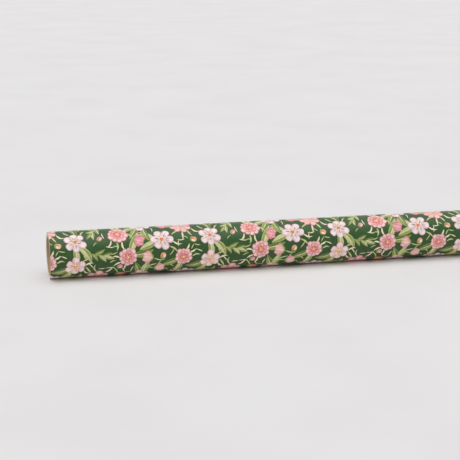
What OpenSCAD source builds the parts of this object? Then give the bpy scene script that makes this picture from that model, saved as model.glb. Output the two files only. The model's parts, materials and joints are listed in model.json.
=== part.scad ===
// Roll of wrapping paper, lying on its side along X.
// The axis runs along X, the origin is on the surface it lies on, under its middle.
// Angles around the roll start at its lowest line and go up over the front (-Y).

/* [Sheet] */
// Width of the paper sheet, which is the length of the roll
sheet_w = 762; // [450:1:1000]
// Thickness of the paper
paper_t = 0.135; // [0.10:0.005:0.14]
// Distance from one wound turn to the next
turn_pitch = 0.157; // [0.15:0.001:0.20]
// Distance from the looser outer turn to the one under it
outer_pitch = 0.26; // [0.24:0.01:0.40]
// Outside diameter of the closed roll
roll_d = 44; // [42:0.5:60]

/* [Core] */
// Bore of the cardboard core
core_bore_d = 34.8; // [30:0.1:35]
// Thickness of one ply of the core
ply_t = 0.4; // [0.3:0.05:0.4]
// Thickness of the double-sided tape that starts the winding
tack_t = 0.08; // [0.05:0.01:0.10]
// Distance from the roll's ends to that tape
tack_inset = 12; // [0:1:50]

/* [Edge tape] */
// Width of each clear tape tab, along the roll
tab_w = 25; // [12:1:40]
// Distance of each tab from the middle of the roll
tab_x = 190; // [50:1:190]
// Thickness of the clear tape
tab_t = 0.06; // [0.04:0.01:0.08]
// Room between a tab and the paper that it is pulled off
tab_gap = 0.03; // [0.02:0.01:0.05]

/* [Hidden] */
STRIP_NODES = [for (i = [1 : 24]) str("outer_turn_strip_", i < 10 ? "0" : "", i)];
$fn = 96;

// The paper is laid in narrow flats, so that its turns nest face to face
flat_a = 12;
turn_flats = 360 / flat_a;
// The outer turn bends along the lines between its strips, each one flat wide.
// The first hinge line is half a flat past the lowest line, the free edge is low at the back.
strip_count = len(STRIP_NODES);
first_a = flat_a / 2;
edge_a = first_a + strip_count * flat_a;
// The turn under the outer one passes the same place a turn earlier
under_a = edge_a - 360;

core_r = core_bore_d / 2 + 3 * ply_t;
// Flats that touch the core at their middle have their corners at this radius
on_core_r = core_r / cos(flat_a / 2);
// Smallest inner radius of the sheet, which clears the tape on the core
start_r = on_core_r + tack_t + 0.02;
wound_depth = roll_d / 2 - outer_pitch - paper_t - start_r;
all_flats = floor((first_a - under_a + 360 * wound_depth / turn_pitch) / flat_a);
start_a = first_a - all_flats * flat_a;

// Flats that each piece of tape covers, around the roll
tack_flats = 3;
stuck_flats = 1;
pull_flats = 2;

paper_back = [0.93, 0.91, 0.86];
print_green = [0.20, 0.36, 0.20];
kraft = [0.62, 0.48, 0.35];
clear_tape = [0.90, 0.92, 0.92, 0.5];

// Radius of the sheet's outer face at an angle, which goes below zero on the inner turns
function sheet_r(a) = a >= under_a
    ? roll_d / 2 - outer_pitch * (edge_a - a) / 360
    : roll_d / 2 - outer_pitch - turn_pitch * (under_a - a) / 360;

// The lowest flat of the paper lies on the surface
axis_z = sheet_r(flat_a / 2) * cos(flat_a / 2);

function place(r, a) = [-r * sin(a), axis_z - r * cos(a)];

// A band of constant thickness through a row of [radius, angle] places on its inner face
module band(inner, t, w) {
    rotate([90, 0, 90])
        linear_extrude(w, center = true)
            polygon(concat([for (p = inner) place(p[0], p[1])],
                [for (i = [len(inner) - 1 : -1 : 0]) place(inner[i][0] + t, inner[i][1])]));
}

function sheet_path(a, flats) =
    [for (i = [0 : flats]) [sheet_r(a + i * flat_a) - paper_t, a + i * flat_a]];

// One ply of the spiral-wound cardboard tube, counted from the inside
module core_ply(number) {
    inner = core_bore_d / 2 + number * ply_t;
    translate([0, 0, axis_z])
        rotate([0, 90, 0])
            difference() {
                cylinder(h = sheet_w, r = inner + ply_t, center = true);
                cylinder(h = sheet_w + 2, r = inner, center = true);
            }
}

module core_inner_ply() {
    color(kraft) core_ply(0);
}

module core_middle_ply() {
    color(kraft) core_ply(1);
}

module core_outer_ply() {
    color(kraft) core_ply(2);
}

// Double-sided tape on the core, under the first flats of the winding
module core_tack_tape() {
    path = [for (i = [0 : tack_flats]) [on_core_r, start_a + i * flat_a]];
    color(clear_tape) band(path, tack_t, sheet_w - 2 * tack_inset);
}

// The sheet from its inner end on the core out to the turn before the first hinge line
module wound_sheet() {
    color(paper_back) band(sheet_path(start_a, all_flats - turn_flats), paper_t, sheet_w);
}

// The next turn of the same sheet, which the outer turn covers and then leaves at the first hinge line
module under_turn() {
    color(print_green) band(sheet_path(first_a - 360, turn_flats), paper_t, sheet_w);
}

// One strip of the outer turn, counted from the first hinge line to the free edge
module outer_turn_strip(number) {
    color(print_green) band(sheet_path(first_a + (number - 1) * flat_a, 1), paper_t, sheet_w);
}

// The part of a tape tab that stays on the last strip
module tab_stuck(side) {
    from_a = edge_a - stuck_flats * flat_a;
    path = [for (i = [0 : stuck_flats]) [sheet_r(from_a + i * flat_a), from_a + i * flat_a]];
    color(clear_tape) translate([side * tab_x, 0, 0]) band(path, tab_t, tab_w);
}

// The part of a tape tab that holds the turn underneath, and is pulled off it
module tab_pull(side) {
    path = [for (i = [0 : pull_flats])
        [i == 0 ? sheet_r(edge_a) : sheet_r(under_a + i * flat_a) + tab_gap, edge_a + i * flat_a]];
    color(clear_tape) translate([side * tab_x, 0, 0]) band(path, tab_t, tab_w);
}

module edge_tape_left_stuck() {
    tab_stuck(-1);
}

module edge_tape_left_pull() {
    tab_pull(-1);
}

module edge_tape_right_stuck() {
    tab_stuck(1);
}

module edge_tape_right_pull() {
    tab_pull(1);
}

core_inner_ply();
core_middle_ply();
core_outer_ply();
core_tack_tape();
wound_sheet();
under_turn();
for (i = [1 : strip_count])
    outer_turn_strip(i);
edge_tape_left_stuck();
edge_tape_left_pull();
edge_tape_right_stuck();
edge_tape_right_pull();
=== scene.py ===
import itertools
import json
import math
import random

import bpy
import numpy as np
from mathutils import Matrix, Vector
from mathutils.geometry import delaunay_2d_cdt


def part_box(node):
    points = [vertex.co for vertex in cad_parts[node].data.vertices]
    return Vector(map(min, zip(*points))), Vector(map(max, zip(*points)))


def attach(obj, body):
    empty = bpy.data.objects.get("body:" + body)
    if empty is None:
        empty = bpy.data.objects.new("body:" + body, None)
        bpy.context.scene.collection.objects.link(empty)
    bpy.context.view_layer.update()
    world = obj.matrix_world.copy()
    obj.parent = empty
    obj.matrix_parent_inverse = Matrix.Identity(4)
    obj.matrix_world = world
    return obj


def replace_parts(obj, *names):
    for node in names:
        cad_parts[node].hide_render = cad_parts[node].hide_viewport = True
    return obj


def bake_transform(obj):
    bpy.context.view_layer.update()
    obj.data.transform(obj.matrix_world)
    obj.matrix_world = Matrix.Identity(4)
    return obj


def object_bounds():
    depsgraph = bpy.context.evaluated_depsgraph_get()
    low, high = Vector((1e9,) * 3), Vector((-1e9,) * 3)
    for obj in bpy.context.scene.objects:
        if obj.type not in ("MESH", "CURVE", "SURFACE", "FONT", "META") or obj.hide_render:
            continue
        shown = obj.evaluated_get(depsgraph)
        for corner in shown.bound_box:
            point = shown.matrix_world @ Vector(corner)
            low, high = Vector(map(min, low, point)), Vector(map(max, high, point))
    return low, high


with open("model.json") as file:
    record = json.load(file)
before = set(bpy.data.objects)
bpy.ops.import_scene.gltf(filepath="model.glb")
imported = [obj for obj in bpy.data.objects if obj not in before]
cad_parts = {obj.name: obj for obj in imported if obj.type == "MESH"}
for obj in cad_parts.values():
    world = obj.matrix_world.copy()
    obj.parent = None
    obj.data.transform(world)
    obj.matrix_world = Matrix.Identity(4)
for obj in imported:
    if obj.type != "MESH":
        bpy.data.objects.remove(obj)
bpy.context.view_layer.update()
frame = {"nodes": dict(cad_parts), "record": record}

MM = 0.001

# ---------------------------------------------------------------- sizes of the roll
# Angles around the roll start at its lowest line and go up over the front (-Y).
# They fall below zero on the turns under the outer one.

core_low, core_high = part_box("core_inner_ply")
LENGTH = core_high.x - core_low.x
LEFT = core_low.x
AXIS_Z = (core_low.z + core_high.z) / 2
CORE_R = (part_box("core_outer_ply")[1].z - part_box("core_outer_ply")[0].z) / 2
BORE_R = frame["record"]["mounts"][0]["dims"]["r_mm"] * MM

PAPER_T = 0.135 * MM
TURN_PITCH = 0.157 * MM
OUTER_PITCH = 0.26 * MM
ROLL_R = 22 * MM
STRIPS = 24
STRIP_A = 12
FIRST_HINGE_A = STRIP_A / 2
EDGE_A = FIRST_HINGE_A + STRIPS * STRIP_A
UNDER_A = EDGE_A - 360
FACET_A = 4
# The print shows on the outer turn, and on the turn under it when that is unrolled
PRINT_END_A = -348


def sheet_r(a):
    """Radius of the sheet's outer face at an angle."""
    loose = ROLL_R - OUTER_PITCH * (EDGE_A - a) / 360
    tight = ROLL_R - OUTER_PITCH - TURN_PITCH * (UNDER_A - a) / 360
    return np.where(a >= UNDER_A, loose, tight)


def hand_dents(x, a):
    """Long shallow waves left by handling, the same on neighbouring turns."""
    a = np.radians(a)
    wide = np.sin(x * 31 + 1.3) * np.sin(2 * a + 0.7 + x * 6)
    short = np.sin(x * 83 + 2 * np.sin(3 * a + 0.4)) * np.sin(3 * a + 1.9)
    return (0.035 * wide + 0.018 * short) * MM


def around(x, a, r):
    """Places at an angle and a radius around the roll's axis, as rows of x, y, z."""
    t = np.radians(a)
    return np.stack([x + 0 * t, -r * np.sin(t), AXIS_Z - r * np.cos(t)], axis=-1)


def outside_point(x, a, depth=0.0):
    return around(x, a, sheet_r(a) + hand_dents(x, a) - depth)


def outside_normal(x, a):
    """Normal of the dented sheet, from short steps along it."""
    step_x, step_a = 0.5 * MM, 0.5
    along = outside_point(x + step_x, a) - outside_point(x - step_x, a)
    round_it = outside_point(x, a + step_a) - outside_point(x, a - step_a)
    n = np.cross(along, round_it)
    n /= np.linalg.norm(n, axis=-1, keepdims=True)
    out = around(0 * x, a, 1.0) - np.array([0, 0, AXIS_Z])
    return n * np.sign(np.sum(n * out, axis=-1, keepdims=True))


# ---------------------------------------------------------------- the print, in millimetres
# One repeat of painted flowers: x runs along the roll, s back along the sheet from its free edge.

REPEATS_X = 6
REPEATS_ROUND = 2
CELLS = 4
FLATS_PER_CELL = 21
# An angle where both a repeat and a bending strip begin, just past the free edge
TOP_A = EDGE_A + STRIP_A / 2
FLAT_S = ROLL_R / MM * math.radians(FACET_A)
REPEAT = np.array([LENGTH / MM / REPEATS_X, CELLS * FLATS_PER_CELL * FLAT_S])
# Each repeat down the sheet is moved along the roll by half a repeat
HALF_DROP = 0.5
SEED = 7

INK_COLOURS = {
    "green": "264f1b",
    "green_dark": "1d3416",
    "lime": "ccd093",
    "olive": "98a453",
    "olive_dark": "627c36",
    "cream": "f7ecc6",
    "lilac": "efd0d5",
    "lilac_light": "faeceb",
    "lilac_shadow": "e0b0bc",
    "rose": "f1a5a8",
    "rose_light": "fdcec6",
    "rose_deep": "da8090",
    "coral": "e67664",
    "coral_light": "f9b094",
    "plum": "6c3c4c",
}
INK_NAMES = list(INK_COLOURS)


def moved(points, angle, at):
    c, s = math.cos(angle), math.sin(angle)
    points = np.asarray(points, float)
    return points @ np.array([[c, s], [-s, c]]) + np.array(at)


def loop(steps):
    return np.linspace(0, 2 * math.pi, steps, endpoint=False)


def petal(length, width, fullness=0.4, notch=0.0, steps=20):
    """A petal from its base at 0, 0 along +x. Fullness widens it towards its tip."""
    f = loop(steps)
    x = 0.5 - 0.5 * np.cos(f)
    y = np.sin(f) * (1 - fullness + 2 * fullness * x) / (1 + 0.4 * fullness)
    dip = notch * np.exp(-((f - math.pi) ** 2) / 0.12)
    return np.stack([length * (x - dip), width / 2 * y], axis=1)


def blade(length, width, bend, start=0.0, side=0, steps=9):
    """A pointed leaf or a tapered stroke along +x, bowed by bend. side picks one half of it."""
    t = np.linspace(0, 1, steps)
    along = length * (start + (1 - start) * t)
    bow = bend * length * np.sin(math.pi * t * 0.8)
    middle = np.stack([along, bow], axis=1)
    half = width / 2 * np.sin(math.pi * t ** 0.8) ** 0.9
    half[0] = half[-1] = 0.02
    up, down = middle + np.stack([0 * t, half], 1), middle - np.stack([0 * t, half], 1)
    first = up if side >= 0 else middle
    second = down if side <= 0 else middle
    return np.concatenate([first, second[::-1][1:-1] if side == 0 else second[::-1]])


def out_from(at, reach, angle):
    """The place at a distance from another one, in one direction."""
    return (at[0] + reach * math.cos(angle), at[1] + reach * math.sin(angle))


def blob(radius, wobble, phase, steps=12):
    f = loop(steps)
    r = radius * (1 + wobble * np.sin(3 * f + phase))
    return np.stack([r * np.cos(f), r * np.sin(f)], axis=1)


class Tile:
    """Painted shapes in the order that they are painted in."""

    def __init__(self, seed):
        self.rng = random.Random(seed)
        self.shapes = []

    def add(self, ink, points, angle=0.0, at=(0, 0)):
        self.shapes.append((ink, moved(points, angle, at)))

    def stroke(self, ink, at, angle, length, width, bend=0.0, start=0.0):
        self.add(ink, blade(length, width, bend, start, steps=7), angle, at)

    def leaf(self, at, angle, length, width, bend):
        rng = self.rng
        light, dark = rng.choice([("lime", "olive"), ("lime", "olive"), ("olive", "olive_dark")])
        self.add(light, blade(length, width, bend), angle, at)
        half = blade(length * 0.96, width * 0.86, bend, 0.06, rng.choice([-1, 1]))
        self.add(dark, half, angle, at)
        self.stroke("cream", at, angle, length * 0.82, width * 0.11, bend, 0.08)

    def blossom(self, at, radius, petals, kind):
        rng = self.rng
        fill, wash, shade, vein = {
            "lilac": ("lilac", "lilac_light", "lilac_shadow", "plum"),
            "rose": ("rose", "rose_light", "rose_deep", "rose_deep"),
            "blush": ("rose_light", "lilac_light", "rose", "coral"),
        }[kind]
        spin = rng.uniform(0, 2 * math.pi)
        slots = list(range(petals))
        rng.shuffle(slots)
        share = {"lilac": 0.7, "rose": 0.76, "blush": 0.74}[kind]
        wide = 2 * radius * math.sin(math.pi / petals) * share
        for i in slots:
            angle = spin + 2 * math.pi * i / petals + rng.uniform(-0.09, 0.09)
            length = radius * rng.uniform(0.9, 1.06)
            notch = rng.choice([0.0, 0.0, 0.06])
            self.add(shade, petal(length * 1.01, wide * 1.04, 0.46, notch), angle, at)
            inner = petal(length * 0.97, wide * 0.9, 0.46, notch)
            self.add(fill, inner, angle + rng.uniform(-0.03, 0.03), at)
            tip = out_from(at, 0.4 * length, angle)
            pale = petal(length * 0.54, wide * 0.66, 0.3)
            self.add(wash, pale, angle + rng.uniform(-0.12, 0.12), tip)
            rib = angle + rng.uniform(-0.06, 0.06)
            self.stroke("cream", at, rib, length * 0.62, wide * 0.26, 0.0, 0.12)
            for _ in range(rng.choice([1, 1, 2])):
                self.stroke(vein, at, angle + rng.uniform(-0.2, 0.2), length * rng.uniform(0.5, 0.72),
                            radius * 0.045, rng.uniform(-0.06, 0.06), 0.3)
        self.add("coral", blob(radius * 0.17, 0.14, spin), 0, at)
        for i in range(5):
            self.stroke("cream", at, spin + i * 1.257 + 0.4, radius * 0.4, radius * 0.05, 0.1, 0.3)
        self.add("rose_deep" if kind == "lilac" else "cream", blob(radius * 0.08, 0.1, spin), 0, at)

    def double_blossom(self, at, radius):
        rng = self.rng
        spin = rng.uniform(0, 2 * math.pi)
        rings = [
            (10, 1.0, "rose_light", "lilac_light"),
            (8, 0.7, "rose", "rose_light"),
            (5, 0.42, "coral", "coral_light"),
        ]
        for ring, (count, reach, fill, wash) in enumerate(rings):
            for i in range(count):
                angle = spin + ring * 0.3 + 2 * math.pi * i / count + rng.uniform(-0.08, 0.08)
                length = radius * reach * rng.uniform(0.9, 1.05)
                width = 2.3 * length * math.sin(math.pi / count)
                self.add("rose_deep", petal(length * 1.04, width, 0.3, steps=14), angle, at)
                self.add(fill, petal(length, width * 0.84, 0.3, steps=14), angle, at)
                self.add(wash, petal(length * 0.84, width * 0.34, 0.3, steps=10), angle + 0.06, at)
        self.add("cream", blob(radius * 0.1, 0.2, spin), 0, at)

    def tulip(self, at, size, angle, kind):
        rng = self.rng
        outer, inner, stripe = {
            "rose": ("rose_deep", "rose", "rose_light"),
            "blush": ("rose", "rose_light", "cream"),
            "coral": ("coral", "coral_light", "cream"),
        }[kind]
        back = (at[0] - size * 0.42 * math.cos(angle), at[1] - size * 0.42 * math.sin(angle))
        stem = angle + math.pi + rng.uniform(-0.4, 0.4)
        self.stroke("lime", back, stem, size * 1.1, size * 0.12, 0.18)
        petals = ((0.62, 0.82), (-0.62, 0.82), (0.3, 0.97), (-0.3, 0.97), (0.0, 0.9))
        for turn, reach in petals:
            ink = outer if abs(turn) > 0.5 else inner
            self.add(outer, petal(size * reach * 1.03, size * 0.46, 0.36), angle + turn, back)
            self.add(ink, petal(size * reach * 0.97, size * 0.38, 0.36), angle + turn, back)
            self.stroke(stripe, back, angle + turn, size * reach * 0.85, size * 0.09, 0.05, 0.25)
        for turn in (0.9, -0.9):
            self.add("olive", blade(size * 0.4, size * 0.16, 0.15 * turn), angle + turn, back)

    def sprig(self, at, size, angle):
        """A stem with leaves to both sides and one at its tip."""
        rng = self.rng
        base = (at[0] - 0.5 * size * math.cos(angle), at[1] - 0.5 * size * math.sin(angle))
        self.stroke("olive", base, angle, size * 0.8, 1.0, 0.03)
        leaves = ((0.12, 0.75), (0.26, -0.75), (0.45, 0.6), (0.6, -0.6), (0.66, 0.05))
        for share, turn in leaves:
            foot = out_from(base, share * size, angle)
            length = size * rng.uniform(0.42, 0.52)
            self.leaf(foot, angle + turn, length, size * 0.17, -0.15 * turn)

    def bud(self, at, size, angle):
        fill, light, dark = self.rng.choice([("coral", "coral_light", "rose_deep"),
                                             ("rose", "rose_light", "rose_deep"),
                                             ("coral_light", "cream", "coral")])
        self.stroke("lime", at, angle + math.pi, size * 1.5, size * 0.16, 0.2, 0.2)
        self.add(fill, petal(size * 1.1, size * 0.95, 0.1), angle, at)
        self.add(light, petal(size * 0.9, size * 0.4, 0.1), angle + 0.35, at)
        self.add(dark, petal(size * 0.7, size * 0.26, 0.1), angle - 0.3, at)
        self.add("olive", blade(size * 0.6, size * 0.3, 0.1), angle + 0.8, at)
        self.add("olive", blade(size * 0.6, size * 0.3, -0.1), angle - 0.8, at)

    def dash(self, at, angle, length):
        side = (at[0] + 0.5 * math.sin(angle), at[1] - 0.5 * math.cos(angle))
        bend = self.rng.uniform(-0.2, 0.2)
        self.stroke("green_dark", side, angle, length, 0.8, bend)
        ink = self.rng.choice(["cream", "lime", "lime", "cream", "rose_light"])
        self.stroke(ink, at, angle, length, 1.0, bend)


def room_at(places, at):
    """Room around a place on the repeating tile, up to the nearest flower."""
    wide, high = REPEAT
    rooms = [wide]
    for (x, s), radius in places:
        for row in (-1, 0, 1):
            along = (at[0] - x - row * HALF_DROP * wide + wide / 2) % wide - wide / 2
            rooms.append(math.hypot(along, at[1] - s - row * high) - radius)
    return min(rooms)


def scatter(rng, places, radius, tries=120):
    """The place with the most room of those tried."""
    spots = [(rng.uniform(0, REPEAT[0]), rng.uniform(0, REPEAT[1])) for _ in range(tries)]
    at = max(spots, key=lambda spot: room_at(places, spot))
    places.append((at, radius))
    return at


def painted_tile(seed):
    """Flowers from large to small, then leaves behind them and strokes in the gaps."""
    rng = random.Random(seed)
    places = []
    # Kind, radius and number of petals
    large = [
        ("rose", 12.8, 8), ("rose", 12.4, 7), ("lilac", 11.2, 6), ("rose", 12.0, 8),
        ("lilac", 10.8, 7), ("lilac", 10.6, 6), ("blush", 10.6, 7), ("lilac", 10.4, 5),
        ("double", 9.6, 0), ("lilac", 9.8, 6), ("double", 9.0, 0), ("lilac", 9.8, 5),
        ("blush", 9.8, 6), ("lilac", 9.4, 6), ("double", 8.4, 0), ("lilac", 9.4, 6),
        ("rose", 10.4, 7),
    ]
    flowers = [(kind, radius, petals, scatter(rng, places, radius))
               for kind, radius, petals in large]
    sprigs = [(rng.uniform(21, 25), scatter(rng, places, 8.0)) for _ in range(4)]
    middle = ["rose", "blush", "coral", "rose", "blush", "rose", "coral", "blush", "rose", "blush"]
    tulips = [(kind, rng.uniform(10.0, 12.4), scatter(rng, places, 5.4)) for kind in middle]
    buds = [(rng.uniform(4.8, 6.4), scatter(rng, places, 3.4)) for _ in range(12)]

    leaves, marks, blooms = Tile(seed + 1), Tile(seed + 2), Tile(seed + 3)
    for kind, radius, petals, at in flowers:
        away = rng.uniform(0, 2 * math.pi)
        for i in range(rng.choice([2, 2, 3])):
            angle = away + i * rng.uniform(0.5, 1.1)
            base = out_from(at, 0.5 * radius, angle)
            length, width = rng.uniform(17.0, 21.0), rng.uniform(5.6, 6.8)
            leaves.leaf(base, angle, length, width, rng.uniform(-0.18, 0.18))
        for i in range(3):
            angle = away + math.pi + i * 0.6
            ink = rng.choice(["lime", "cream"])
            length = radius * rng.uniform(1.6, 1.9)
            leaves.stroke(ink, at, angle, length, 1.7, rng.uniform(-0.2, 0.2), 0.5)
    for size, at in sprigs:
        leaves.sprig(at, size, rng.uniform(0, 2 * math.pi))
    for _ in range(44):
        at = scatter(rng, places, 1.6, 30)
        angle = rng.uniform(0, 2 * math.pi)
        start = (at[0] - 3 * math.cos(angle), at[1] - 3 * math.sin(angle))
        marks.dash(start, angle, rng.uniform(6.0, 9.5))
    for size, at in buds:
        blooms.bud(at, size, rng.uniform(0, 2 * math.pi))
    for kind, size, at in tulips:
        blooms.tulip(at, size, rng.uniform(0, 2 * math.pi), kind)
    for kind, radius, petals, at in flowers:
        if kind == "double":
            blooms.double_blossom(at, radius)
        else:
            blooms.blossom(at, radius, petals, kind)
    return marks.shapes + leaves.shapes + blooms.shapes


# ---------------------------------------------------------------- the print cut into flat regions

# Of the cutter: it keeps what is inside the outlines, and joins points this near in mm
INSIDE_ONLY = 1
CUT_EPSILON = 1e-4
# In metres and degrees, within which points of neighbouring cells are one
SAME_PLACE = (1e-7, 1e-5)


def clipped(points, axis, limit, side):
    """The part of an outline on one side of a straight cut."""
    depth = (points[:, axis] - limit) * side
    kept = []
    for here, there, d, e in zip(points, np.roll(points, -1, 0), depth, np.roll(depth, -1)):
        if d >= 0:
            kept.append(here)
        if d * e < 0:
            kept.append(here + (there - here) * d / (d - e))
    return np.array(kept).reshape(-1, 2)


def signed_area(points):
    x, y = points.T
    return 0.5 * float(np.sum(x * np.roll(y, -1) - np.roll(x, -1) * y))


def cut_cell(shapes, low, high):
    """A cell of the print as triangles: vertices, corners and inks.

    A later shape covers an earlier one."""
    outlines = [np.array([low, (high[0], low[1]), high, (low[0], high[1])])]
    inks = [INK_NAMES.index("green")]
    for ink, points in shapes:
        for axis in (0, 1):
            points = clipped(points, axis, low[axis], 1)
            points = clipped(points, axis, high[axis], -1)
        if len(points) > 2:
            outlines.append(points if signed_area(points) > 0 else points[::-1])
            inks.append(INK_NAMES.index(ink))
    ends = np.cumsum([len(outline) for outline in outlines])
    faces = [list(range(end - len(outline), end)) for end, outline in zip(ends, outlines)]

    # Lines along the roll, so that every triangle can bend round it
    levels = [low[1] + i * FLAT_S for i in range(1, FLATS_PER_CELL)]
    free_edge = (TOP_A - EDGE_A) / FACET_A * FLAT_S
    levels += [free_edge] if low[1] < free_edge < high[1] else []
    rules = np.array([(x, level) for level in levels for x in (low[0], high[0])])
    edges = [(ends[-1] + i, ends[-1] + i + 1) for i in range(0, len(rules), 2)]

    points = [Vector(p) for p in np.concatenate(outlines + [rules])]
    cut = delaunay_2d_cdt(points, edges, faces, INSIDE_ONLY, CUT_EPSILON, True)
    verts, _, corners, _, _, covers = cut
    top_inks = [inks[max(ids, default=0)] for ids in covers]
    return np.array(verts), np.array(corners), np.array(top_inks)


def cut_tile(shapes):
    """One repeat of the print.

    Gives (x, s) vertices, the column of cells each is in, triangles, and their inks."""
    size = REPEAT / CELLS
    copies = [(ink, points + REPEAT * (column + HALF_DROP * row, row))
              for ink, points in shapes
              for column, row in itertools.product((-1, 0, 1), repeat=2)]
    verts, columns, corners, inks = [], [], [], []
    for step in itertools.product(range(CELLS), repeat=2):
        low = size * step
        high = low + size
        near = [(ink, p) for ink, p in copies
                if (p.max(0) > low).all() and (p.min(0) < high).all()]
        v, c, i = cut_cell(near, low, high)
        corners.append(c + sum(len(known) for known in verts))
        verts.append(v)
        columns.append(np.full(len(v), step[0]))
        inks.append(i)
    return [np.concatenate(parts) for parts in (verts, columns, corners, inks)]


TILE_POINTS, TILE_COLUMNS, TILE_CORNERS, TILE_INKS = cut_tile(painted_tile(SEED))


def print_between(low_a, high_a):
    """The print from one angle to another, over the whole length.

    Gives x and a of its vertices, triangles, the ink of each, and its repeat along the roll."""
    places, corners, inks, repeats = [], [], [], []
    for row in range(REPEATS_ROUND):
        a = TOP_A - np.degrees((TILE_POINTS[:, 1] + row * REPEAT[1]) * MM / ROLL_R)
        middle = a[TILE_CORNERS].mean(1)
        chosen = (middle > low_a) & (middle < high_a)
        # What would pass the roll's right end comes in again at its left end
        drop = row * np.where(TILE_COLUMNS < CELLS / 2, HALF_DROP, HALF_DROP - 1)
        for column in range(REPEATS_X):
            x = LEFT + (TILE_POINTS[:, 0] + (column + drop) * REPEAT[0]) * MM
            corners.append(TILE_CORNERS[chosen] + len(places) * len(x))
            places.append(np.stack([x, a], 1))
            inks.append(TILE_INKS[chosen])
            repeats.append(np.full(chosen.sum(), column))
    places, corners = np.concatenate(places), np.concatenate(corners)

    # Neighbouring cells and repeats share the vertices on their borders
    used, corners = np.unique(corners, return_inverse=True)
    keys = np.round(places[used] / SAME_PLACE).astype(np.int64)
    _, first, same = np.unique(keys, axis=0, return_index=True, return_inverse=True)
    corners = same.reshape(-1)[corners.reshape(-1)].reshape(-1, 3)
    places = places[used][first]
    # Slivers along a cell's border would stand up as chords once the sheet is bent
    wide = np.ptp(places[corners][:, :, 0], axis=1) > SAME_PLACE[0]
    distinct = (corners != np.roll(corners, 1, 1)).all(1)
    _, single = np.unique(np.sort(corners, 1), axis=0, return_index=True)
    whole = np.intersect1d(single, np.flatnonzero(wide & distinct))
    inks, repeats = np.concatenate(inks)[whole], np.concatenate(repeats)[whole]
    return places[:, 0], places[:, 1], corners[whole], inks, repeats


# ---------------------------------------------------------------- meshes


class Shell:
    """The faces of one piece, with each corner's normal and its places on two maps.

    The "Print" map is in metres along and around the roll. The "OFBake" map fills a square."""

    def __init__(self):
        self.points, self.normals, self.faces, self.materials = [], [], [], []
        self.print_map, self.bake_map = [], []

    def add(self, points, normals, corners, materials, print_map, bake_map):
        """Adds faces. print_map has a place for each point, bake_map for each face's corners."""
        corners = np.asarray(corners)
        tri = points[corners]
        facing = np.cross(tri[:, 1] - tri[:, 0], tri[:, 2] - tri[:, 0])
        flipped = np.sum(facing * normals[corners].mean(1), 1) < 0
        corners = np.where(flipped[:, None], corners[:, ::-1], corners)
        bake_map = np.where(flipped[:, None, None], bake_map[:, ::-1], bake_map)
        self.faces += (corners + sum(len(known) for known in self.points)).tolist()
        self.points.append(points)
        self.normals.append(normals)
        self.materials += list(materials)
        self.print_map.append(print_map[corners].reshape(-1, 2))
        self.bake_map.append(bake_map.reshape(-1, 2))

    def add_grid(self, points, normals, material, print_map, bake_map):
        """Adds rows of points joined by four-sided faces."""
        rows, columns = points.shape[:2]
        index = np.arange(rows * columns).reshape(rows, columns)
        around_face = [index[:-1, :-1], index[1:, :-1], index[1:, 1:], index[:-1, 1:]]
        corners = np.stack(around_face, -1).reshape(-1, 4)
        points, normals, print_map, bake_map = (
            np.asarray(given, float).reshape(rows * columns, -1)
            for given in (points, normals, print_map, bake_map)
        )
        materials = [material] * len(corners)
        self.add(points, normals, corners, materials, print_map, bake_map[corners])

    def piece(self, name):
        mesh = bpy.data.meshes.new(name)
        mesh.from_pydata(np.concatenate(self.points).tolist(), [], self.faces, shade_flat=False)
        if mesh.validate():
            raise ValueError(f"{name} has faces that a mesh can't hold")
        for map_name, places in (("Print", self.print_map), ("OFBake", self.bake_map)):
            layer = mesh.uv_layers.new(name=map_name)
            layer.uv.foreach_set("vector", np.concatenate(places).astype(np.float32).reshape(-1))
        used = sorted(set(self.materials))
        for material in used:
            mesh.materials.append(MATERIALS[material])
        slots = {material: i for i, material in enumerate(used)}
        mesh.polygons.foreach_set("material_index", [slots[material] for material in self.materials])
        mesh.normals_split_custom_set_from_vertices(np.concatenate(self.normals).tolist())
        obj = bpy.data.objects.new(name, mesh)
        bpy.context.collection.objects.link(obj)
        return obj


def both_ways(first, second):
    """Every pair of a value of the first list, by rows, and of the second."""
    return np.meshgrid(first, second, indexing="ij")


def turned(normals, t):
    """Copies of a normal given as x and outward parts, for the angles t."""
    return around(0 * t + normals[0], t, normals[1]) - np.array([0, 0, AXIS_Z])


# ---------------------------------------------------------------- the sheet

SIDE_COLUMNS = 24
MEAN_RECESS = 0.12 * MM
UNDER_TURN_PIECES = 3
# Of the sheet's start, between the core and the first turn
TACK_TAPE_ROOM = 0.2 * MM
# Heights of the parts of the bake map
PRINT_SHARE, BACK_LOW, BACK_HIGH, SIDES_LOW = 0.72, 0.74, 0.85, 0.87


def print_place(x, a):
    return np.stack([x - LEFT, ROLL_R * np.radians(TOP_A - a)], -1)


def recess(side, a):
    """How far in from the roll's end a turn lies. Turns never lie quite flush."""
    t = np.radians(a)
    wander = 1 + 0.6 * np.sin(t * 0.23 + side) + 0.4 * np.sin(t * 0.71 + 2 * side)
    return MEAN_RECESS * wander * np.clip((PRINT_END_A - a) / 90, 0, 1)


def side_x(side, a):
    return side * (LENGTH / 2 - recess(side, a)) + (LEFT + LENGTH / 2)


def add_sides(shell, angles):
    """The sheet's cut sides, seen as thin rings on the roll's ends."""
    for i, side in enumerate((-1, 1)):
        a, depth = both_ways(angles, [0, PAPER_T])
        x = side_x(side, a)
        normals = np.zeros(a.shape + (3,)) + (side, 0, 0)
        t = (a - angles[0]) / (angles[-1] - angles[0])
        bake = np.stack([t, SIDES_LOW + 0.06 * i + 0.05 * depth / PAPER_T], -1)
        places = print_place(x + depth, a)
        shell.add_grid(outside_point(x, a, depth), normals, "paper_side", places, bake)


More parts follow.
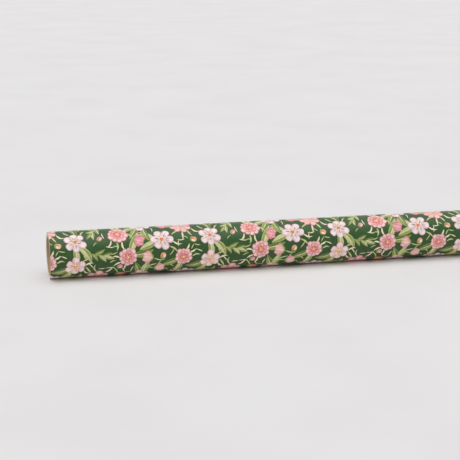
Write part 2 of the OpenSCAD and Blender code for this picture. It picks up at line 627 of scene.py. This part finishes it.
def add_back(shell, angles, columns=SIDE_COLUMNS):
    """The sheet's plain inner face."""
    a, t = both_ways(angles, np.linspace(0, 1, columns + 1))
    x = side_x(-1, a) * (1 - t) + side_x(1, a) * t
    high = (a - angles[0]) / (angles[-1] - angles[0])
    bake = np.stack([t, BACK_LOW + (BACK_HIGH - BACK_LOW) * high], -1)
    inner, places = outside_point(x, a, PAPER_T), print_place(x, a)
    shell.add_grid(inner, -outside_normal(x, a), "paper_back", places, bake)


def add_cut(shell, at_a, heading):
    """The sheet's cut end across the roll, facing up the turn or down it."""
    x, depth = both_ways(np.linspace(LEFT, LEFT + LENGTH, SIDE_COLUMNS + 1), [0, PAPER_T])
    a = 0 * x + at_a
    step = outside_point(x, a + heading) - outside_point(x, a)
    normals = step / np.linalg.norm(step, axis=-1, keepdims=True)
    bake = np.stack([(x - LEFT) / LENGTH, 0.994 + 0.005 * depth / PAPER_T], -1)
    places = print_place(x, a + depth)
    shell.add_grid(outside_point(x, a, depth), normals, "paper_side", places, bake)


def add_print(shell, low_a, high_a, tiles_across=1):
    """The printed face. Its repeats along the roll are laid out side by side on the bake map."""
    x, a, corners, inks, repeats = print_between(low_a, high_a)
    wide, high = 1 / tiles_across, PRINT_SHARE * tiles_across / REPEATS_X
    across = (x[corners] - LEFT) / (LENGTH / REPEATS_X) - repeats[:, None]
    up = (a[corners] - low_a) / (high_a - low_a)
    column, row = repeats % tiles_across, repeats // tiles_across
    bake = np.stack([(column[:, None] + 0.98 * across) * wide, (row[:, None] + 0.94 * up) * high], -1)
    materials = [INK_NAMES[ink] for ink in inks]
    shell.add(outside_point(x, a), outside_normal(x, a), corners, materials, print_place(x, a), bake)


def steps_between(low_a, high_a):
    return np.linspace(low_a, high_a, max(2, round((high_a - low_a) / FACET_A) + 1))


def sheet_piece(name, low_a, high_a, tiles_across=1):
    """A stretch of the printed sheet, over the whole length of the roll."""
    shell = Shell()
    angles = steps_between(low_a, high_a)
    add_print(shell, low_a, high_a, tiles_across)
    add_back(shell, angles)
    add_sides(shell, angles)
    if high_a == EDGE_A:
        add_cut(shell, EDGE_A, 1)
    return shell.piece(name)


def strip_name(number):
    return f"outer_turn_strip_{number:02d}"


def build_outer_turn():
    """The turn that unrolls. Each piece spans one hinge, from the middle of a strip to the next."""
    for number in range(1, STRIPS + 1):
        low_a, high_a = (number - 1) * STRIP_A, number * STRIP_A
        piece = sheet_piece(f"sheet_bend_{number:02d}", low_a, high_a)
        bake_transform(piece)
        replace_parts(piece, strip_name(number))
    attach(sheet_piece("sheet_free_edge", STRIPS * STRIP_A, EDGE_A), strip_name(STRIPS))


def build_under_turn():
    """The printed turn below, which shows past the free edge and when the outer turn is unrolled."""
    shown = -6 * STRIP_A
    piece = sheet_piece("sheet_past_free_edge", shown, 0)
    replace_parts(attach(piece, "roll"), "under_turn")
    reach = (shown - PRINT_END_A) / UNDER_TURN_PIECES
    for number in range(UNDER_TURN_PIECES):
        high_a = shown - number * reach
        name = f"sheet_under_turn_{number + 1}"
        piece = sheet_piece(name, high_a - reach, high_a, tiles_across=2)
        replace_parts(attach(piece, "roll"), "under_turn")


def build_wound_turns():
    """The turns below those, down to the core. Only their sides show, on the roll's ends."""
    start_r = CORE_R + TACK_TAPE_ROOM + PAPER_T
    start_a = UNDER_A - 360 * (ROLL_R - OUTER_PITCH - start_r) / TURN_PITCH
    shell = Shell()
    turn_below = PRINT_END_A - 360
    stretches = ((start_a, turn_below, 1), (turn_below, PRINT_END_A, SIDE_COLUMNS))
    for low_a, high_a, columns in stretches:
        angles = steps_between(low_a, high_a)
        a, t = both_ways(angles, np.linspace(0, 1, columns + 1))
        x = side_x(-1, a) * (1 - t) + side_x(1, a) * t
        bake = np.stack([t, 0.7 * (a - low_a) / (high_a - low_a)], -1)
        shell.add_grid(outside_point(x, a), outside_normal(x, a), "green", print_place(x, a), bake)
        add_back(shell, angles, columns)
        add_sides(shell, angles)
    add_cut(shell, start_a, -1)
    piece = shell.piece("sheet_wound_turns")
    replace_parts(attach(piece, "roll"), "wound_sheet")


# ---------------------------------------------------------------- the core

# How far along the core the board's spiral goes in one turn
PLY_LEAD = 90 * MM


def build_ply(node, inner_r, outer_r):
    """One glued turn of kraft board, as a smooth tube with its rims broken by the cutter."""
    rim = 0.07 * MM
    half = LENGTH / 2
    # x and radius round the tube's wall, each stretch with the x and outward parts of its normal
    stretches = [
        ((-half + rim, outer_r), (half - rim, outer_r), (0, 1)),
        ((half - rim, outer_r), (half, outer_r - rim), (0.7, 0.7)),
        ((half, outer_r - rim), (half, inner_r + rim), (1, 0)),
        ((half, inner_r + rim), (half - rim, inner_r), (0.7, -0.7)),
        ((half - rim, inner_r), (-half + rim, inner_r), (0, -1)),
        ((-half + rim, inner_r), (-half, inner_r + rim), (-0.7, -0.7)),
        ((-half, inner_r + rim), (-half, outer_r - rim), (-1, 0)),
        ((-half, outer_r - rim), (-half + rim, outer_r), (-0.7, 0.7)),
    ]
    shares = {0: (0.0, 0.44), 4: (0.46, 0.9), 2: (0.91, 0.94), 6: (0.95, 0.98)}
    shell = Shell()
    angles = np.arange(0, 361, 3.0)
    for i, (first, last, facing) in enumerate(stretches):
        a, t = both_ways(angles, [0.0, 1.0])
        x = LEFT + half + first[0] * (1 - t) + last[0] * t
        r = first[1] * (1 - t) + last[1] * t
        low, high = shares.get(i, (0.99, 0.995))
        bake = np.stack([a / 360, low + (high - low) * t], -1)
        normals = turned(facing, a)
        normals /= np.linalg.norm(normals, axis=-1, keepdims=True)
        print_map = np.stack([x - LEFT, np.radians(a) * BORE_R + r - BORE_R], -1)
        material = "kraft_side" if i in (2, 6) else "kraft"
        shell.add_grid(around(x, a, r), normals, material, print_map, bake)
    piece = shell.piece(node.replace("core_", "core_tube_"))
    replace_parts(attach(piece, "roll"), node)


def build_core():
    inner_r = BORE_R
    for node in ("core_inner_ply", "core_middle_ply", "core_outer_ply"):
        low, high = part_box(node)
        outer_r = (high.z - low.z) / 2
        build_ply(node, inner_r, outer_r)
        inner_r = outer_r


# ---------------------------------------------------------------- tape on the free edge

TAB_T = 0.06 * MM
TAB_GAP = 0.03 * MM
TAB_LOW_A, TAB_HIGH_A = EDGE_A - STRIP_A, EDGE_A + 2 * STRIP_A
TOOTH = 0.55 * MM
# How far past the free edge the tape takes to come down onto the turn below
STEP_DOWN_A = 3


def tab_skin(x, a, lift):
    """The tape lies on the outer turn, and steps down past the free edge onto the turn below."""
    past = np.clip((a - EDGE_A) / STEP_DOWN_A, 0, 1)
    past = past * past * (3 - 2 * past)
    r = sheet_r(a) * (1 - past) + sheet_r(a - 360) * past
    return around(x, a, r + hand_dents(x, a) + TAB_GAP + lift)


def build_tab(side):
    """A tab of clear tape with the saw-tooth ends of a dispenser's blade."""
    low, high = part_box(f"edge_tape_{side}_stuck")
    middle, half = (low.x + high.x) / 2, (high.x - low.x) / 2
    angles = np.linspace(TAB_LOW_A, TAB_HIGH_A, 25)
    a, t = both_ways(angles, np.linspace(-1, 1, 9))
    teeth = TOOTH * (np.arange(len(angles)) % 2)[:, None]
    x = middle + t * (half - teeth)
    up = (a - TAB_LOW_A) / (TAB_HIGH_A - TAB_LOW_A)
    out = turned((0, 1), a)
    shell = Shell()
    for lift, facing, share in ((TAB_T, 1, 0.0), (0.0, -1, 0.46)):
        bake = np.stack([0.01 + 0.49 * (t + 1), share + 0.44 * up], -1)
        print_map = np.stack([x, up * half], -1)
        shell.add_grid(tab_skin(x, a, lift), facing * out, "clear_tape", print_map, bake)
    lift = np.array([0, TAB_T])
    for column, heading in ((0, -1), (-1, 1)):
        rim_x = np.repeat(x[:, column][:, None], 2, 1)
        rim_a = np.repeat(a[:, :1], 2, 1)
        normals = np.zeros(rim_x.shape + (3,)) + (heading, 0, 0)
        strip = 0.92 + 0.03 * lift / TAB_T + 0 * rim_a
        bake = np.stack([np.repeat(up[:, :1], 2, 1), strip], -1)
        shell.add_grid(tab_skin(rim_x, rim_a, lift), normals, "clear_tape", bake, bake)
    for row, heading in ((0, -1), (-1, 1)):
        rim_x = np.repeat(x[row][:, None], 2, 1)
        rim_a = np.full((x.shape[1], 2), angles[row])
        normals = heading * turned((0, 1), rim_a + 90)
        strip = 0.96 + 0.03 * lift / TAB_T + 0 * rim_a
        bake = np.stack([np.repeat(t[0][:, None] * 0.49 + 0.5, 2, 1), strip], -1)
        shell.add_grid(tab_skin(rim_x, rim_a, lift), normals, "clear_tape", bake, bake)
    piece = shell.piece(f"tape_tab_{side}")
    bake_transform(piece)
    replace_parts(piece, f"edge_tape_{side}_stuck", f"edge_tape_{side}_pull")


# ---------------------------------------------------------------- materials


def srgb(code):
    """A colour written as RRGGBB, as the linear values that a shader takes."""
    parts = [int(code[i:i + 2], 16) / 255 for i in (0, 2, 4)]
    return [p / 12.92 if p < 0.04045 else ((p + 0.055) / 1.055) ** 2.4 for p in parts] + [1.0]


class Nodes:
    """A material's nodes, added and joined by short calls."""

    def __init__(self, name):
        self.material = bpy.data.materials.new(name)
        self.material.use_nodes = True
        self.tree = self.material.node_tree
        self.shader = self.tree.nodes["Principled BSDF"]

    def add(self, kind, inputs=(), **settings):
        node = self.tree.nodes.new(kind)
        for key, value in settings.items():
            setattr(node, key, value)
        for socket, value in dict(inputs).items():
            if isinstance(value, bpy.types.NodeSocket):
                self.tree.links.new(value, node.inputs[socket])
            else:
                node.inputs[socket].default_value = value
        return node

    def place(self, scale):
        """The print map's place, times a scale along and around the roll."""
        uv = self.add("ShaderNodeUVMap", uv_map="Print").outputs["UV"]
        factors = {0: uv, 1: (scale[0], scale[1], 1)}
        return self.add("ShaderNodeVectorMath", factors, operation="MULTIPLY").outputs[0]

    def noise(self, scale, detail, rough):
        inputs = {"Vector": self.place(scale), "Scale": 1.0, "Detail": detail, "Roughness": rough}
        return self.add("ShaderNodeTexNoise", inputs, noise_dimensions="2D").outputs["Fac"]

    def remap(self, value, low, high, to_low, to_high):
        inputs = {"Value": value, "From Min": low, "From Max": high}
        inputs |= {"To Min": to_low, "To Max": to_high}
        return self.add("ShaderNodeMapRange", inputs).outputs["Result"]

    def mix(self, factor, first, second):
        return self.add("ShaderNodeMix", {0: factor, 6: first, 7: second}, data_type="RGBA").outputs[2]

    def combine(self, operation, first, second):
        return self.add("ShaderNodeMath", {0: first, 1: second}, operation=operation).outputs[0]

    def bump(self, height, strength, distance):
        inputs = {"Height": height, "Strength": strength, "Distance": distance}
        self.link(self.add("ShaderNodeBump", inputs).outputs["Normal"], "Normal")

    def link(self, value, socket):
        self.tree.links.new(value, self.shader.inputs[socket])


def ink_material(name, code):
    """Gouache printed on smooth coated paper: soft pools of paint, fine grain, a silky surface."""
    n = Nodes(name)
    colour = np.array(srgb(code))
    thin, thick = colour * 1.16 + (0.012, 0.012, 0.010, 0), colour * 0.84
    thin[3] = thick[3] = 1
    pools = n.noise((210, 150), 4, 0.6)
    streaks = n.noise((300, 1500), 3, 0.6)
    tone = n.combine("ADD", n.combine("MULTIPLY", pools, 0.6), n.combine("MULTIPLY", streaks, 0.4))
    n.link(n.mix(n.remap(tone, 0.32, 0.68, 0, 1), list(thin), list(thick)), "Base Color")
    fibre = n.noise((2600, 1300), 3, 0.7)
    n.link(n.remap(fibre, 0.25, 0.75, 0.34, 0.44), "Roughness")
    n.shader.inputs["Specular IOR Level"].default_value = 0.4
    n.bump(n.combine("ADD", fibre, n.combine("MULTIPLY", pools, 0.5)), 0.16, 0.00005)
    return n.material


def paper_material(name, light, dark, scale):
    """Unprinted paper, with a faint cloudy formation and fine fibres."""
    n = Nodes(name)
    clouds = n.noise((scale, scale), 4, 0.6)
    fibre = n.noise((3200, 900), 3, 0.7)
    tone = n.combine("ADD", n.combine("MULTIPLY", clouds, 0.5), n.combine("MULTIPLY", fibre, 0.5))
    n.link(n.mix(n.remap(tone, 0.3, 0.7, 0, 1), srgb(light), srgb(dark)), "Base Color")
    n.link(n.remap(fibre, 0.25, 0.75, 0.62, 0.78), "Roughness")
    n.bump(fibre, 0.25, 0.00006)
    return n.material


def kraft_material(name, light, dark, lap):
    """Brown board with long fibres, dark specks, and the spiral line where the board's turns meet."""
    n = Nodes(name)
    fibre = n.noise((180, 1900), 5, 0.7)
    clouds = n.noise((60, 60), 3, 0.6)
    specks = n.remap(n.noise((1500, 1500), 1, 0.4), 0.66, 0.72, 0, 1)
    tone = n.combine("ADD", n.combine("MULTIPLY", fibre, 0.6), n.combine("MULTIPLY", clouds, 0.4))
    board = n.mix(n.remap(tone, 0.3, 0.7, 0, 1), srgb(light), srgb(dark))
    board = n.mix(n.combine("MULTIPLY", specks, 0.45), board, srgb("5b4331"))
    if lap:
        round_bore = 2 * math.pi * BORE_R
        at = n.add("ShaderNodeSeparateXYZ", {0: n.place((1 / PLY_LEAD, 1 / round_bore))})
        turn = n.combine("FRACT", n.combine("ADD", at.outputs[0], at.outputs[1]), 0.0)
        off_line = n.combine("ABSOLUTE", n.combine("SUBTRACT", turn, 0.5), 0.0)
        line = n.remap(off_line, 0.002, 0.008, 1, 0)
        board = n.mix(n.combine("MULTIPLY", line, 0.7), board, srgb("4a3526"))
        fibre = n.combine("SUBTRACT", fibre, line)
    n.link(board, "Base Color")
    n.link(n.remap(fibre, 0.2, 0.8, 0.72, 0.88), "Roughness")
    n.bump(fibre, 0.5, 0.00012)
    return n.material


def tape_material():
    """Matt clear tape: nearly see-through, a little milky, with soft drag lines along it."""
    n = Nodes("clear_tape")
    lines = n.noise((90, 5200), 2, 0.5)
    n.link(n.mix(n.remap(lines, 0.3, 0.7, 0, 1), srgb("f4f2ec"), srgb("dedbd2")), "Base Color")
    n.link(n.remap(lines, 0.3, 0.7, 0.24, 0.36), "Roughness")
    n.shader.inputs["Alpha"].default_value = 0.22
    n.bump(lines, 0.15, 0.00005)
    return n.material


def masking_material():
    """The crêpe paper tape that holds the sheet's start on the core."""
    n = Nodes("masking_tape")
    place = n.add("ShaderNodeTexCoord").outputs["Object"]
    crepe = n.add("ShaderNodeTexNoise", {"Vector": place, "Scale": 1400.0, "Detail": 4.0}).outputs["Fac"]
    n.link(n.mix(n.remap(crepe, 0.3, 0.7, 0, 1), srgb("e6d3a6"), srgb("cdb482")), "Base Color")
    n.link(n.remap(crepe, 0.3, 0.7, 0.6, 0.8), "Roughness")
    n.bump(crepe, 0.5, 0.0001)
    return n.material


def floor_material():
    n = Nodes("floor")
    place = n.add("ShaderNodeTexCoord").outputs["Object"]
    clouds = n.add("ShaderNodeTexNoise", {"Vector": place, "Scale": 7.0, "Detail": 6.0}).outputs["Fac"]
    n.link(n.mix(n.remap(clouds, 0.35, 0.65, 0, 1), srgb("f0efef"), srgb("eceaeb")), "Base Color")
    n.shader.inputs["Roughness"].default_value = 0.8
    n.bump(clouds, 0.1, 0.0005)
    return n.material


MATERIALS = {name: ink_material("ink_" + name, code) for name, code in INK_COLOURS.items()}
MATERIALS["paper_back"] = paper_material("paper_back", "f5f1ea", "e9e3d8", 240)
MATERIALS["paper_side"] = paper_material("paper_side", "f6ecdb", "e4d6bd", 5200)
MATERIALS["kraft"] = kraft_material("kraft", "cfb395", "ae9073", lap=True)
MATERIALS["kraft_side"] = kraft_material("kraft_side", "d6bb9b", "b69878", lap=False)
MATERIALS["clear_tape"] = tape_material()


# ---------------------------------------------------------------- the scene

FLOOR_HALF = 9.0
# Where each light comes from, its spread in degrees, and its strength
WINDOW = ((-1.3, -0.75, 1.25), 60, 0.95)
OVERHEAD = ((-0.1, -0.05, 1.0), 70, 1.42)
# The room is a dim even fill. Seen directly or as a sheen, it is as pale as the floor.
ROOM_COLOUR = (1.0, 0.985, 0.985, 1)
ROOM_FILL, ROOM_SEEN = 0.26, 0.78
# The camera stands low and well back, left of the roll's end
CAMERA_FROM_LEFT_END = 107.8 * MM
CAMERA_BACK, CAMERA_UP = 1218.8 * MM, 337.1 * MM
CAMERA_PITCH, CAMERA_YAW = 13.51, 13.01
LENS_MM, SENSOR_MM = 105.1, 36


def build_roll():
    build_outer_turn()
    build_under_turn()
    build_wound_turns()
    build_core()
    for side in ("left", "right"):
        build_tab(side)
    starting_tape = frame["nodes"]["core_tack_tape"]
    starting_tape.data.materials.clear()
    starting_tape.data.materials.append(masking_material())


def build_floor():
    half = FLOOR_HALF
    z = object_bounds()[0][2]
    mesh = bpy.data.meshes.new("floor")
    corners = [(-half, -half, z), (half, -half, z), (half, half, z), (-half, half, z)]
    mesh.from_pydata(corners, [], [(0, 1, 2, 3)])
    mesh.materials.append(floor_material())
    floor = bpy.data.objects.new("floor", mesh)
    bpy.context.collection.objects.link(floor)


def soft_light(name, come_from, spread, strength):
    """Light from one side of a studio, as even as from a far large window."""
    light = bpy.data.lights.new(name, "SUN")
    light.angle = math.radians(spread)
    light.energy = strength
    obj = bpy.data.objects.new(name, light)
    obj.location = come_from
    obj.rotation_euler = Vector(come_from).to_track_quat("Z", "Y").to_euler()
    bpy.context.collection.objects.link(obj)


def build_studio():
    soft_light("window", *WINDOW)
    soft_light("overhead", *OVERHEAD)
    world = bpy.data.worlds.new("studio")
    bpy.context.scene.world = world
    world.use_nodes = True
    background = world.node_tree.nodes["Background"]
    background.inputs["Color"].default_value = ROOM_COLOUR
    nodes, links = world.node_tree.nodes, world.node_tree.links
    rays = nodes.new("ShaderNodeLightPath")
    seen = nodes.new("ShaderNodeMath")
    seen.operation = "MAXIMUM"
    links.new(rays.outputs["Is Camera Ray"], seen.inputs[0])
    links.new(rays.outputs["Is Glossy Ray"], seen.inputs[1])
    strength = nodes.new("ShaderNodeMapRange")
    strength.inputs["To Min"].default_value = ROOM_FILL
    strength.inputs["To Max"].default_value = ROOM_SEEN
    links.new(seen.outputs[0], strength.inputs["Value"])
    links.new(strength.outputs["Result"], background.inputs["Strength"])
    bpy.context.scene.view_settings.view_transform = "Standard"


def build_camera():
    """A long lens, with the roll's left end in view and its right end out of view."""
    camera = bpy.data.cameras.new("camera")
    camera.sensor_width = SENSOR_MM
    camera.lens = LENS_MM
    camera.clip_end = 40
    obj = bpy.data.objects.new("camera", camera)
    obj.location = (LEFT - CAMERA_FROM_LEFT_END, -CAMERA_BACK, CAMERA_UP)
    obj.rotation_euler = (math.radians(90 - CAMERA_PITCH), 0, math.radians(-CAMERA_YAW))
    bpy.context.collection.objects.link(obj)
    bpy.context.scene.camera = obj


build_roll()
build_floor()
build_studio()
build_camera()
